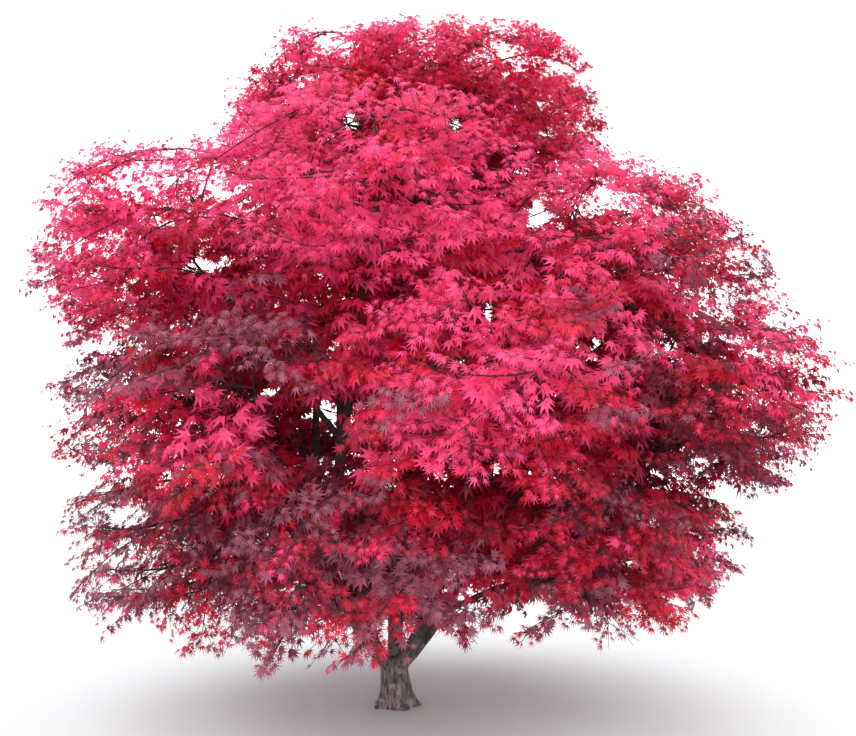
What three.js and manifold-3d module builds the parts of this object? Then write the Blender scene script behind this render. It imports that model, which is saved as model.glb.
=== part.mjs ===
// A broad upright Japanese maple in red autumn leaf, rooted in the ground.
// Millimetres, +Z up. The origin is the middle of the flat cut under the trunk.
// The side seen first faces -Y.
import * as THREE from "three";
import { mergeVertices } from "three/addons/utils/BufferGeometryUtils.js";
import Module from "manifold-3d";

const wasm = await Module();
wasm.setup();

// The crown is five tiers of leaf pads, each tier a ring round the trunk's axis.
// height: the pads' middle. ring: from the axis to the pads' middles. shift: the ring's offset along X.
// pad: a pad's radius. turn: the first pad's direction, in degrees from +X.
const TIERS = [
  { name: "skirt", height: 1130, ring: 1400, shift: 150, count: 7, pad: 850, turn: 3 },
  { name: "lower", height: 1960, ring: 1680, shift: 340, count: 8, pad: 960, turn: 6 },
  { name: "shoulder", height: 2820, ring: 1600, shift: 0, count: 8, pad: 960, turn: -3 },
  { name: "upper", height: 3790, ring: 720, shift: 130, count: 5, pad: 820, turn: -54 },
  { name: "top", height: 4130, ring: 0, shift: 150, count: 1, pad: 860, turn: 0 },
];
const LEADER_TIERS = ["upper", "top"]; // their limbs are stems from the trunk, the others' are boughs
const FLATNESS = 0.7; // a pad's height over its width
const TIER_WANDER = 0.05; // how far a pad strays from its tier, as a share of each size

// Trunk
const TRUNK_HEIGHT = 320;
const TRUNK_LEAN = -26; // along X, at the fork
const TRUNK_RADIUS = 92; // at the waist
const TRUNK_CROWN_RADIUS = 62; // at the rounded top between the stems
const TRUNK_ROUNDING = 0.3; // of the trunk's height, at its top
const FLARE = 60; // how far the roots swell the foot
const FLARE_HEIGHT = 75; // the height over which that swelling dies away
const ROOT_RIDGES = 5;
const RIDGE_SHARE = 0.4; // of the flare, in and out

// Stems rise from the fork to the upper and top tiers. Boughs leave the stems for the other tiers.
const STEM_START = 215; // height on the trunk's axis
const STEM_SPLAY = 50; // degrees from upright where a stem leaves the trunk
const STEM_RADIUS = { base: 47, tip: 15 };
const BOUGH_TIP_RADIUS = 11;
const BOUGH_SLENDERNESS = 0.011; // base radius gained for each millimetre of length
const BOUGH_START_SHARE = 0.56; // a bough leaves its stem at this share of its pad's height
const BOUGH_START_STEP = 0.05; // neighbouring boughs start this much higher or lower
const BOUGH_START_CYCLE = 3; // and so on in turn over this many boughs
const LIMB_BOW = 0.36; // how long a limb keeps its first and last heading, as a share of its length

// Leaf pads. Shares are of the way from a pad's middle to the edge of its space.
const ROOT_SHARE = 0.8; // where the limb ends and the pad's own stem begins
const TWIG_RADIUS = { base: 12, tip: 8 };

// Each pad has three flat sprays in layers, lowest first.
// middle: a layer's height, up or down. rise: degrees up from level to its lobe tips.
const LAYERS = [
  { middle: -0.3, rise: -48 },
  { middle: 0.22, rise: -18 },
  { middle: 0.74, rise: 14 },
];
const LAYER_DRIFT = 0.22; // how far a layer's middle strays sideways, as a share of the pad's radius
const LAYER_THICKNESS = 0.1; // at its middle, as a share of the pad's half height
const LAYER_LOBES = 8;
const LAYER_SHARE = { tip: 0.99, notch: 0.66 };
const LAYER_NOTCH_RISE = 7; // degrees above the lobe tips
const LAYER_WANDER = 0.14; // how far short of its share a lobe can fall
const INNER_SHARE = 0.55; // the layers are this much narrower towards the trunk

// Single leaves stand out of the layers.
const LEAF_TRIES = 5; // in each pad
const LOWEST_LEAF = -0.75; // how far down a pad its leaves go, from -1 to 1
const INWARD_LIMIT = 0.5; // no leaves on the side of a pad that faces the trunk
const LEAF_PLACES = { furthest: 0.94, nearest: 0.6, step: 0.04 };
const LEAF_SPAN = 300; // from a leaf's middle to its longest tip
const LEAF_THICKNESS = 0.08; // of its span, at the middle
const LEAF_DROOP = 0.25; // of its span, at the tips
const LOBE_ANGLES = [-112, -56, 0, 56, 112]; // degrees from the leaf's own axis
const LOBE_LENGTHS = [0.7, 0.92, 1, 0.92, 0.7]; // of the span
const NOTCH_ANGLES = [-84, -28, 28, 84, 150, 210]; // the last two lie beside the stalk
const NOTCH_LENGTHS = [0.36, 0.4, 0.4, 0.36, 0.12, 0.12];
const STALK_START = 0.6; // of the way from a layer's middle to its lobe tips

const CLEARANCE = 0.3; // between neighbouring pieces
const SPACE_MARGIN = 8; // between a pad and the middle of the gap to its neighbour
const SEED = 7;
const LEAF_SEEDS = 100; // the first of the seeds that the pads' leaves use

const SIDES = { trunk: 20, stem: 7, bough: 5, twig: 4 };
const STEPS = { trunk: 8, stem: 8, bough: 5, twig: 1 };
const HALVINGS = 30;

const BARK = new THREE.MeshStandardMaterial({ color: 0x5d4a50, roughness: 0.85, metalness: 0 });
const FOLIAGE = new THREE.MeshStandardMaterial({ color: 0xc0304f, roughness: 0.6, metalness: 0 });

const UP = new THREE.Vector3(0, 0, 1);
const DOWN = new THREE.Vector3(0, 0, -1);
const GOLDEN_ANGLE = Math.PI * (3 - Math.sqrt(5));
const { clamp, degToRad, lerp } = THREE.MathUtils;

// A small seeded generator of numbers from 0 to 1.
function generator(seed) {
  let state = (SEED * 7919 + seed * 104729) >>> 0;
  return () => {
    state = (state + 0x6d2b79f5) >>> 0;
    let t = Math.imul(state ^ (state >>> 15), state | 1);
    t ^= t + Math.imul(t ^ (t >>> 7), t | 61);
    return ((t ^ (t >>> 14)) >>> 0) / 2 ** 32;
  };
}

// Directions

const outward = (azimuth) => new THREE.Vector3(Math.cos(azimuth), Math.sin(azimuth), 0);

const aim = (azimuth, rise) =>
  outward(azimuth).multiplyScalar(Math.cos(rise)).addScaledVector(UP, Math.sin(rise));

const level = (v) => v.clone().setZ(0).normalize();

// Solids

function bare(geometry) {
  geometry.deleteAttribute("normal");
  geometry.deleteAttribute("uv");
  return mergeVertices(geometry);
}

function solid(geometry) {
  return new wasm.Manifold(
    new wasm.Mesh({
      numProp: 3,
      vertProperties: new Float32Array(geometry.attributes.position.array),
      triVerts: new Uint32Array(geometry.index.array),
    }),
  );
}

function geometryOf(manifold) {
  const { vertProperties, triVerts } = manifold.getMesh();
  const geometry = new THREE.BufferGeometry();
  geometry.setAttribute("position", new THREE.BufferAttribute(vertProperties, 3));
  geometry.setIndex(new THREE.BufferAttribute(triVerts, 1));
  geometry.computeVertexNormals();
  return geometry;
}

// The main body of a solid: loose scraps go, and sealed hollows are filled.
function mainBody(manifold) {
  return manifold.decompose().reduce((best, body) => (body.volume() > best.volume() ? body : best));
}

function boxesMeet(a, b) {
  const [p, q] = [a.boundingBox(), b.boundingBox()];
  return [0, 1, 2].every((k) => p.min[k] <= q.max[k] && q.min[k] <= p.max[k]);
}

function touches(a, b) {
  return boxesMeet(a, b) && a.intersect(b).volume() > 0;
}

function clearOf(manifold, others) {
  return others.reduce((rest, other) => (boxesMeet(rest, other) ? rest.subtract(other) : rest), manifold);
}

function cornersOf(shape) {
  const place = shape.attributes.position;
  return Array.from({ length: place.count }, (_, i) => new THREE.Vector3().fromBufferAttribute(place, i));
}

const nearestTo = (goal, points) =>
  points.reduce((best, point) => (point.distanceTo(goal) < best.distanceTo(goal) ? point : best));

// Limbs

// A closed tapering tube along a curve. radiusAt(along, angle) gives its radius, with along from 0 to 1.
// grow makes it that much larger all round and at its tip.
function limb(curve, radiusAt, kind, grow = 0) {
  const [sides, steps] = [SIDES[kind], STEPS[kind]];
  const shape = bare(new THREE.CylinderGeometry(1, 1, 1, sides, steps));
  const { tangents, normals, binormals } = curve.computeFrenetFrames(steps, false);
  const place = shape.attributes.position;
  for (let i = 0; i < place.count; i++) {
    const along = place.getY(i) + 0.5;
    const step = Math.round(along * steps);
    const angle = Math.atan2(place.getZ(i), place.getX(i));
    const isOnSkin = Math.hypot(place.getX(i), place.getZ(i)) > 0.5;
    const size = isOnSkin ? radiusAt(along, angle) + grow : 0;
    const point = curve
      .getPointAt(along)
      .addScaledVector(binormals[step], Math.cos(angle) * size)
      .addScaledVector(normals[step], Math.sin(angle) * size);
    if (step === steps) point.addScaledVector(tangents[step], grow);
    place.setXYZ(i, point.x, point.y, point.z);
  }
  return solid(shape);
}

const taper = (base, tip) => (along) => lerp(base, tip, along);

// A limb's line leaves one point along a heading and arrives at another along a second heading.
function bowed(from, heading, to, arrival) {
  const bow = from.distanceTo(to) * LIMB_BOW;
  return new THREE.CubicBezierCurve3(
    from,
    from.clone().addScaledVector(heading.clone().normalize(), bow),
    to.clone().addScaledVector(arrival.clone().normalize(), -bow),
    to,
  );
}

function trunkLine() {
  const head = new THREE.Vector3(TRUNK_LEAN, 0, TRUNK_HEIGHT);
  return bowed(new THREE.Vector3(), UP, head, head);
}

function trunkRadius(along, angle) {
  const swell = FLARE * Math.exp((-along * TRUNK_HEIGHT) / FLARE_HEIGHT);
  const ridges = 1 + RIDGE_SHARE * Math.cos(ROOT_RIDGES * angle);
  const rounding = Math.max(0, 1 - (1 - along) / TRUNK_ROUNDING);
  return lerp(TRUNK_RADIUS, TRUNK_CROWN_RADIUS, rounding ** 2) + swell * ridges;
}

// The point and heading of a stem at a given height, found by halving.
function atHeight(line, height) {
  let [low, high] = [0, 1];
  for (let k = 0; k < HALVINGS; k++) {
    const middle = (low + high) / 2;
    if (line.getPointAt(middle).z < height) low = middle;
    else high = middle;
  }
  return { point: line.getPointAt(low), tangent: line.getTangentAt(low) };
}

// The crown's pads and their spaces

// In the pads' own measure heights are stretched, so that each flat pad is a ball.
const stretched = (v) => new THREE.Vector3(v.x, v.y, v.z / FLATNESS);
const unstretched = (v) => new THREE.Vector3(v.x, v.y, v.z * FLATNESS);

function makePads() {
  const pads = [];
  for (const tier of TIERS) {
    for (let order = 0; order < tier.count; order++) {
      const random = generator(pads.length);
      const stray = () => 1 + TIER_WANDER * (2 * random() - 1);
      const azimuth = degToRad(tier.turn) + (2 * Math.PI * order) / tier.count;
      const centre = outward(azimuth).multiplyScalar(tier.ring * stray());
      centre.x += tier.shift;
      centre.z = tier.height * (tier.ring > 0 ? stray() : 1);
      const name = `${tier.name}_${order + 1}`;
      pads.push({ name, tier: tier.name, order, azimuth, centre, radius: tier.pad });
    }
  }
  return pads;
}

// How far a pad's space reaches from its middle along a direction, both in the stretched measure.
// Where two pads would overlap, the space ends at the plane through the circle where their balls meet.
function reach(pad, pads, direction) {
  let limit = pad.radius;
  for (const other of pads) {
    if (other === pad) continue;
    const apart = stretched(other.centre.clone().sub(pad.centre));
    const towards = direction.dot(apart);
    if (towards <= 0) continue;
    const middle = (apart.lengthSq() + pad.radius ** 2 - other.radius ** 2) / 2;
    limit = Math.min(limit, (middle - SPACE_MARGIN * apart.length()) / towards);
  }
  return limit;
}

function inSpace(pad, pads, point) {
  const offset = stretched(point.clone().sub(pad.centre));
  const distance = offset.length();
  return distance < reach(pad, pads, offset.normalize());
}

function towardsEdge(pad, pads, direction, share) {
  const distance = reach(pad, pads, direction) * share;
  return unstretched(direction.clone().multiplyScalar(distance)).add(pad.centre);
}

// Where the limb that comes from a given point ends and the pad's own stem begins: on the way from the
// pad's middle to the point half way back.
function rootOf(pad, pads, from) {
  const direction = stretched(from.clone().sub(pad.centre)).normalize();
  return towardsEdge(pad, pads, direction, ROOT_SHARE);
}

// Leaf pads as solids

// Moves the corners of a ball to where placeOf(ring, corner) puts them. Rings count down from the top point.
// Corners go round by twos: even ones are lobe tips and odd ones the notches after them.
function lobedShape(lobes, placeOf) {
  const shape = bare(new THREE.SphereGeometry(1, 2 * lobes, 2));
  const place = shape.attributes.position;
  for (let i = 0; i < place.count; i++) {
    const ring = 1 - Math.round(clamp(place.getY(i), -1, 1));
    const turn = Math.atan2(place.getZ(i), place.getX(i)) / Math.PI;
    const point = placeOf(ring, Math.round((turn + 2) * lobes) % (2 * lobes));
    place.setXYZ(i, point.x, point.y, point.z);
  }
  return shape;
}

// The corners of one layer of a pad: a top, a bottom and a rim of drooping lobes.
function layerCorners(pad, pads, layer, random) {
  const turn = random() * 2 * Math.PI;
  const middle = towardsEdge(pad, pads, layer.middle > 0 ? UP : DOWN, Math.abs(layer.middle));
  middle.addScaledVector(outward(turn), LAYER_DRIFT * pad.radius * random());
  const half = (LAYER_THICKNESS / 2) * pad.radius * FLATNESS;
  const inwards = level(pad.root.clone().sub(pad.centre));
  const rim = Array.from({ length: 2 * LAYER_LOBES }, (_, corner) => {
    const isTip = corner % 2 === 0;
    const rise = degToRad(layer.rise + (isTip ? 0 : LAYER_NOTCH_RISE));
    const direction = aim(turn - (corner * Math.PI) / LAYER_LOBES, rise);
    const share = (isTip ? LAYER_SHARE.tip : LAYER_SHARE.notch) - LAYER_WANDER * random();
    const narrowing = lerp(1, INNER_SHARE, Math.max(0, direction.dot(inwards)));
    return towardsEdge(pad, pads, direction, share * narrowing);
  });
  const top = middle.clone().addScaledVector(UP, half);
  const bottom = middle.clone().addScaledVector(UP, -half);
  return { middle, top, bottom, rim };
}

// A five-lobed leaf with its stalk, which runs back from the leaf's middle to the given foot.
function leafShape(middle, facing, foot) {
  const lobes = LOBE_ANGLES.length;
  const heading = middle.clone().sub(foot);
  heading.addScaledVector(facing, -heading.dot(facing)).normalize();
  const side = heading.clone().cross(facing);
  const at = (degrees, length, rise) =>
    middle
      .clone()
      .addScaledVector(heading, Math.cos(degToRad(degrees)) * LEAF_SPAN * length)
      .addScaledVector(side, Math.sin(degToRad(degrees)) * LEAF_SPAN * length)
      .addScaledVector(facing, LEAF_SPAN * rise);
  return lobedShape(lobes + 1, (ring, corner) => {
    if (ring !== 1) return at(0, 0, (LEAF_THICKNESS / 2) * (1 - ring));
    const lobe = Math.floor(corner / 2);
    if (corner === 2 * lobes) return foot;
    if (corner % 2 === 0) return at(LOBE_ANGLES[lobe], LOBE_LENGTHS[lobe], -LEAF_DROOP * LOBE_LENGTHS[lobe]);
    return at(NOTCH_ANGLES[lobe], NOTCH_LENGTHS[lobe], 0);
  });
}

// Directions spread evenly over the top and sides of a pad, in the stretched measure.
function leafDirections(random) {
  const start = random() * 2 * Math.PI;
  return Array.from({ length: LEAF_TRIES }, (_, k) => {
    const height = lerp(1, LOWEST_LEAF, (k + 0.5) / LEAF_TRIES);
    return aim(start + k * GOLDEN_ANGLE, Math.asin(height));
  });
}

// The leaf that stands furthest out along a direction, or none where each place would leave the pad's
// space or touch something.
function leafTowards(direction, pad, pads, stalkFeet, others) {
  const facing = unstretched(direction).normalize().add(UP).normalize();
  for (let share = LEAF_PLACES.furthest; share > LEAF_PLACES.nearest; share -= LEAF_PLACES.step) {
    const middle = towardsEdge(pad, pads, direction, share);
    const shape = leafShape(middle, facing, nearestTo(middle, stalkFeet));
    if (!cornersOf(shape).every((corner) => inSpace(pad, pads, corner))) continue;
    const leaf = solid(shape);
    if (!others.some((other) => touches(leaf, other))) return leaf;
  }
  return null;
}

// A pad's own stem goes on from the limb to the lowest layer, and a twig from each layer to the next.
// Leaves stand out of the layers.
function leafPad(pad, pads, limbs, index) {
  const random = generator(LEAF_SEEDS + index);
  const layers = LAYERS.map((layer) => layerCorners(pad, pads, layer, random));
  const backward = pad.root.clone().sub(pad.centre).normalize();
  let foot = pad.root.clone().addScaledVector(backward, BOUGH_TIP_RADIUS);
  const pieces = [];
  for (const { middle, top, bottom, rim } of layers) {
    pieces.push(limb(new THREE.LineCurve3(foot, middle), taper(TWIG_RADIUS.base, TWIG_RADIUS.tip), "twig"));
    pieces.push(solid(lobedShape(LAYER_LOBES, (ring, corner) => [top, rim[corner], bottom][ring])));
    foot = middle;
  }
  const stalkFeet = layers.flatMap(({ middle, rim }) =>
    rim.filter((_, corner) => corner % 2 === 0).map((tip) => middle.clone().lerp(tip, STALK_START)),
  );
  const inwards = stretched(pad.root.clone().sub(pad.centre)).normalize();
  const leaves = [];
  for (const direction of leafDirections(random)) {
    if (direction.dot(inwards) > INWARD_LIMIT) continue;
    const leaf = leafTowards(direction, pad, pads, stalkFeet, [...limbs, ...leaves]);
    if (leaf) leaves.push(leaf);
  }
  return mainBody(clearOf(wasm.Manifold.union([...pieces, ...leaves]), limbs));
}

// Assembly

const tree = new THREE.Group();
const pads = makePads();
const limbs = []; // each limb a little larger than it is, to cut its neighbours clear

function addPiece(name, manifold, material) {
  const mesh = new THREE.Mesh(geometryOf(manifold), material);
  mesh.name = name;
  tree.add(mesh);
}

function addLimb(name, curve, radiusAt, kind) {
  addPiece(name, mainBody(clearOf(limb(curve, radiusAt, kind), limbs)), BARK);
  limbs.push(limb(curve, radiusAt, kind, CLEARANCE));
}

addLimb("trunk", trunkLine(), trunkRadius, "trunk");

const isLeader = (pad) => LEADER_TIERS.includes(pad.tier);
const halfWay = (a, b) => a.clone().lerp(b, 0.5);

const stems = [];
for (const pad of pads.filter(isLeader)) {
  const foot = new THREE.Vector3((TRUNK_LEAN * STEM_START) / TRUNK_HEIGHT, 0, STEM_START);
  const splay = degToRad(pad.tier === "top" ? 0 : STEM_SPLAY);
  pad.root = rootOf(pad, pads, halfWay(foot, pad.centre));
  const line = bowed(foot, aim(pad.azimuth, Math.PI / 2 - splay), pad.root, UP);
  addLimb(`stem_${pad.name}`, line, taper(STEM_RADIUS.base, STEM_RADIUS.tip), "stem");
  stems.push(line);
}

for (const pad of pads.filter((p) => !isLeader(p))) {
  const step = (pad.order % BOUGH_START_CYCLE) - 1;
  const start = pad.centre.z * (BOUGH_START_SHARE + BOUGH_START_STEP * step);
  const places = stems.map((line) => atHeight(line, start));
  const point = nearestTo(pad.centre, places.map((place) => place.point));
  const { tangent } = places.find((place) => place.point === point);
  pad.root = rootOf(pad, pads, halfWay(point, pad.centre));
  const heading = level(pad.centre.clone().sub(point)).add(tangent);
  const line = bowed(point, heading, pad.root, pad.centre.clone().sub(pad.root));
  const base = BOUGH_TIP_RADIUS + BOUGH_SLENDERNESS * line.getLength();
  addLimb(`bough_${pad.name}`, line, taper(base, BOUGH_TIP_RADIUS), "bough");
}

pads.forEach((pad, index) => addPiece(`leaves_${pad.name}`, leafPad(pad, pads, limbs, index), FOLIAGE));

export default tree;
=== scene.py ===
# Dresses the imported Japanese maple: bark with relief, fine twigs and leaf sprays in autumn tints.
import math
from dataclasses import dataclass, field

import bmesh
import bpy
import numpy as np
from bpy.props import FloatProperty, FloatVectorProperty, IntProperty, PointerProperty
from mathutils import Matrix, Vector, noise


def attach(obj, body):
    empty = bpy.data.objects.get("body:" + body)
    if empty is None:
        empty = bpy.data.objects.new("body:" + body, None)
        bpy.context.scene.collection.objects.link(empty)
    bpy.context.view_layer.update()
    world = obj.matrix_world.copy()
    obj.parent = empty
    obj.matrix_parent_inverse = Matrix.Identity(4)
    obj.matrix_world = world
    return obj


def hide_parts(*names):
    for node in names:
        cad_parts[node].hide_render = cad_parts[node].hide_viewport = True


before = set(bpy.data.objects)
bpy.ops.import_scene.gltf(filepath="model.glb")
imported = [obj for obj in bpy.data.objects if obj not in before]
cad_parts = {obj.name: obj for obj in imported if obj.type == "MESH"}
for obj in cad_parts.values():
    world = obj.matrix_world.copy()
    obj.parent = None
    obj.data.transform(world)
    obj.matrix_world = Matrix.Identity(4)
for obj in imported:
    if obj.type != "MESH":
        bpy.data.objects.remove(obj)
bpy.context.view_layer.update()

bl_info = {
    "name": "Japanese Maple",
    "version": (1, 0, 0),
    "blender": (4, 5, 0),
    "location": "3D View > Sidebar > Maple",
    "description": "Grows bark, twigs and autumn leaves on the maple's limbs",
    "category": "Add Mesh",
}

# The solids' own rule, in metres and degrees. The crown is tiers of leaf pads round the trunk's axis.
TIERS = (
    {"name": "skirt", "height": 1.13, "ring": 1.40, "shift": 0.15, "count": 7, "pad": 0.85, "turn": 3},
    {"name": "lower", "height": 1.96, "ring": 1.68, "shift": 0.34, "count": 8, "pad": 0.96, "turn": 6},
    {"name": "shoulder", "height": 2.82, "ring": 1.60, "shift": 0.0, "count": 8, "pad": 0.96, "turn": -3},
    {"name": "upper", "height": 3.79, "ring": 0.72, "shift": 0.13, "count": 5, "pad": 0.82, "turn": -54},
    {"name": "top", "height": 4.13, "ring": 0.0, "shift": 0.15, "count": 1, "pad": 0.86, "turn": 0},
)
LEADER_TIERS = ("upper", "top")
FLATNESS = 0.7
TIER_WANDER = 0.05
TRUNK_HEIGHT = 0.32
TRUNK_LEAN = -0.026
TRUNK_RADIUS = 0.092
TRUNK_CROWN_RADIUS = 0.062
TRUNK_ROUNDING = 0.3
FLARE = 0.06
FLARE_HEIGHT = 0.075
ROOT_RIDGES = 5
RIDGE_SHARE = 0.4
STEM_START = 0.215
STEM_SPLAY = 50
STEM_BASE = 0.047
STEM_TIP = 0.015
BOUGH_TIP = 0.011
BOUGH_SLENDERNESS = 0.011
BOUGH_START_SHARE = 0.56
BOUGH_START_STEP = 0.05
BOUGH_START_CYCLE = 3
LIMB_BOW = 0.36
ROOT_SHARE = 0.8
LAYERS = ({"middle": -0.3, "rise": -48}, {"middle": 0.22, "rise": -18}, {"middle": 0.74, "rise": 14})
LAYER_DRIFT = 0.22
LAYER_LOBES = 8
LAYER_WANDER = 0.14
LAYER_TIP_SHARE = 0.99
LAYER_NOTCH_RISE = 7
INNER_SHARE = 0.85
SPACE_MARGIN = 0.008
SEED = 7
LEAF_SEEDS = 100
HALVINGS = 30
LINE_STEPS = 400
# The factors of the solids' own number generator, which works in words of 32 bits.
WORD = 0xFFFFFFFF
SEED_FACTOR = 7919
STREAM_FACTOR = 104729
STATE_STEP = 0x6D2B79F5
FIRST_SHIFT = 15
SECOND_SHIFT = 7
LAST_SHIFT = 14
MIXING_BITS = 61
# Below these, a length or a share counts as none.
LEAST_LENGTH = 1e-9
LEAST_SHARE = 1e-6

# The bark skin: rings and sides of the tubes under it, and its furrows and swellings.
TRUNK_RINGS = 40
TRUNK_SIDES = 64
TRUNK_BURIED = 0.08
STEM_RING_GAP = 0.04
STEM_SIDES = 18
BOUGH_RING_GAP = 0.022
BOUGH_SIDES = 12
LEAST_RINGS = 6
START_SIDE = (0.31, 0.95, 0.02)
SKIN_SOFTENING = 0.5
SKIN_SOFTENINGS = 5
STEM_GRAIN = 60.0
BOUGH_GRAIN = 90.0
BOUGH_RELIEF = 0.5
FURROW_GRAIN = (1.0, 1.0, 0.2)
SWELLING_GRAIN = (0.22, 0.22, 0.16)
FURROW_DEPTH = 0.6
SWELLING_DEPTH = 0.9
SINKING = 0.2

# Branchlets: where they fork, how far they reach and how they bend. Angles and spreads are in radians.
BRANCHLET_POINTS = 6
BRANCHLET_SIDES = 4
MAIN_EVERY = 4
TIP_FORK = 0.26
NOTCH_FORK = 0.42
FORK_WANDER = 0.08
NOTCH_LIFT = 0.3
NOTCH_REACH = 0.88
TURN_SPREAD = 0.08
RISE_SPREAD = 0.1
REACHES = (0.88, 1.0)
BEND = 0.5
# A branchlet that would end in a gap takes the first of these shares that ends outside it.
SHORTER = (1.0, 0.85, 0.7, 0.55)
OPEN_SHARE = 0.4
# How far the lowest pads hang on the left, and where the hanging starts and is full.
SAG = 0.16
SAG_START = 0.1
SAG_WIDTH = 0.5

# Sprays: how many a branchlet has, by the pad's place, and how they stand on it.
RICH_HEIGHT = 1.96
RICHER_UPWARDS = 0.14
RICH_START = 0.6
RICH_WIDTH = 1.0
RICHER_RIGHT = 0.34
SPARSER_BEHIND = 0.18
RICHNESS = (0.85, 1.4)
OUTER_CROWDING = 0.6
SPRAY_WANDER = 0.03
SPRAY_TURN = math.radians(52)
SPRAY_TURN_SPREAD = 0.25
LEVEL_HEIGHT = 2.5
LIFT_HEIGHT = 1.6
LOWEST_SLOPE = -0.2
SLOPE_FOR_LIFT = 0.5
STEEPEST_SLOPE = 0.5
SLOPE_SPREAD = 0.32
SPRAY_LENGTHS = (0.7, 1.3)
SHORTEST_SPRAY = 0.3
TWIGLET_POINTS = 2
TWIGLET_SIDES = 3
TWIGLET_TAPER = 0.55
# Spurs: leafy twiglets along the limbs, through the pads and in the neck under the top dome.
SPUR_START = 0.35
SPUR_HEIGHT = 1.0
SPUR_COVER = 0.1
SPUR_RISE = 0.1
SPUR_RISE_SPREAD = 0.35
SPUR_LENGTHS = (0.6, 1.3)
NECK = (0.82, 1.0)
NECK_SPURS = 60
NECK_LENGTH = 0.5
STEM_SPUR = 0.5
STEM_CROWDING = 1.25
# Sprays are thinned where other pads hide them. The hidden depth is felt for in steps.
CROWN_MIDDLE = (0.15, 0.0, 2.0)
HIDING_STEP = 0.15
HIDING_STEPS = 8
HIDING_SHARE = 0.95
THIN_START = 1.2
THIN_SLOPE = 2.4

# Leaves: how they stand on a spray, and how large and how far out they grow. Angles are in radians.
LEAF_WANDER = 0.06
LEAF_TURN = math.radians(62)
LEAF_TURN_SPREAD = 0.35
LEAF_DIP = (-0.55, 0.65)
FACING_UP = 0.8
FACING_OUT = 0.75
OUTWARD_LEVEL = (1.0, 1.0, 0.5)
SPRAY_TILT = 0.3
LEAF_TILT = 0.3
LEAF_SIZES = (0.75, 1.2)
SHADE_EDGE = 0.2
SHADE_START = 0.2
SHADE_DEPTH = 0.45
LEAF_REACH = 0.98
PIECE_LIMIT = 190000
# Each finger of a leaf: its angle in degrees from the middle one and its length over the span.
SUN_FINGERS = ((0, 1.0), (34, 0.96), (-34, 0.96), (70, 0.84), (-70, 0.84), (114, 0.6), (-114, 0.6))
SHADE_FINGERS = ((0, 1.0), (40, 0.94), (-40, 0.94), (84, 0.74), (-84, 0.74))
FINGER_FOOT = 0.05
STALK_HALF_WIDTH = 0.03
STALK_DROP = 0.01

# Tints go by fields that rise from 0 at the first place to 1 at the second: heights, across and in depth.
HIGH = (1.2, 3.6)
LOW = (1.9, 0.7)
BRIGHT_HEIGHT = (1.5, 2.7)
TOWARDS_CAMERA = (0.0, -1.6)
RIGHT = (0.75, 1.65)
LEFT = (1.5, 0.1)
LEFT_LEAN = 0.6
LEFT_HEIGHT = (3.1, 2.1)
SHADE = (0.0, 0.6)
# How much of each tint a spray's place asks for: always so much, and more or less by its fields.
# Painted light and shade: the bright tint goes high up and towards the camera where the light falls, and
# more wine tint goes into the shaded inside.
TINT_WEIGHTS = {
    "bright_crimson": {"always": 0.1, "lit_high": 0.5, "lit_front": 2.8},
    "crimson": {"always": 0.5, "high": 0.2, "right": -0.3, "low": -0.1, "left_above_skirt": -0.2},
    "scarlet": {"always": 0.3, "low": 0.1},
    "wine": {"always": 0.1, "low": 0.5, "shade": 0.5, "right_above_skirt": 0.8},
    "plum": {"always": 0.02, "left": 0.5, "right_middle": 1.4, "low": 0.1},
    "mauve": {"always": 0.02, "open_left": 1.5, "open_low": 0.05, "open_right": 0.25},
}
TINTS = tuple(TINT_WEIGHTS)
# How far the sides hold back the bright tint, and the skirt the wine.
RIGHT_DULLING = 0.85
LEFT_DULLING = 0.8
SKIRT_CLEARING = 0.5
# Sprays near each other take the same tint by a field of waves through space.
TINT_GROUPING = 0.65
PATCH_SEED = 151
PATCH_WAVES = 24
PATCH_SIZE = 0.9
PATCH_SIZES = (0.6, 1.4)
PATCH_CONTRAST = 2.4

# Finishes: noise scales, ramp stops and roughness with specular level.
BARK_FURROWS = {"scale": 55.0, "detail": 6.0, "roughness": 0.62}
BARK_STRETCH = (1.0, 1.0, 0.22)
BARK_STOPS = (0.36, 0.52, 0.7)
BARK_BLOTCHES = {"scale": 14.0, "detail": 3.0, "roughness": 0.55}
BLOTCH_EDGES = (0.56, 0.68)
# Painted shade on the bark: from the first height to the second it goes over to a darker mix, the limbs'
# shade under the leaves.
CROWN_SHADE_HEIGHTS = (0.26, 0.62)
CROWN_SHADE_DIMMING = 0.4
BARK_FINISH = (0.82, 0.3)
BUMP_STRENGTH = 0.6
BUMP_DEPTH = 0.004
LEAF_MOTTLE = {"scale": 9.0, "detail": 3.0, "roughness": 0.55}
MOTTLE_STOPS = (0.34, 0.6)
MOTTLE_SHADE = 0.72
LEAF_FINISH = (0.42, 0.5)
FLOOR_CLOUD = {"scale": 0.6, "detail": 2.0, "roughness": 0.55}
FLOOR_SHADE = 0.97
FLOOR_FINISH = (0.9, 0.5)
# The Mix node's places for two colours and for their blend.
MIX_COLOURS = (6, 7)
MIX_BLEND = 2

# The stage: half the floor's side, the light all round and the lamps.
FLOOR_HALF = 60
SURROUND_STRENGTH = 2.25
LAMPS = (
    {"name": "key", "place": (-2.5, -8.5, 8.5), "size": 9.0, "watts": 270.0},
    {"name": "back", "place": (4.0, 6.0, 10.0), "size": 9.0, "watts": 260.0},
    {"name": "front", "place": (0.0, -9.0, 3.4), "size": 5.0, "watts": 430.0},
)
LAMP_TARGET = Vector((0.2, 0.0, 2.2))

UP = np.array((0.0, 0.0, 1.0))

# The solids that the pieces take the place of.
MASSES = sorted(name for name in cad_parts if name.startswith("leaves_"))
BOUGHS = sorted(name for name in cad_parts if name.startswith("bough_"))
STEMS = sorted(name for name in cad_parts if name.startswith("stem_"))

# The photograph's camera, used by the stage and for the gaps in the crown where sky shows.
PHOTO_SIZE = (856, 736)
SENSOR_WIDTH = 36.0
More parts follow.
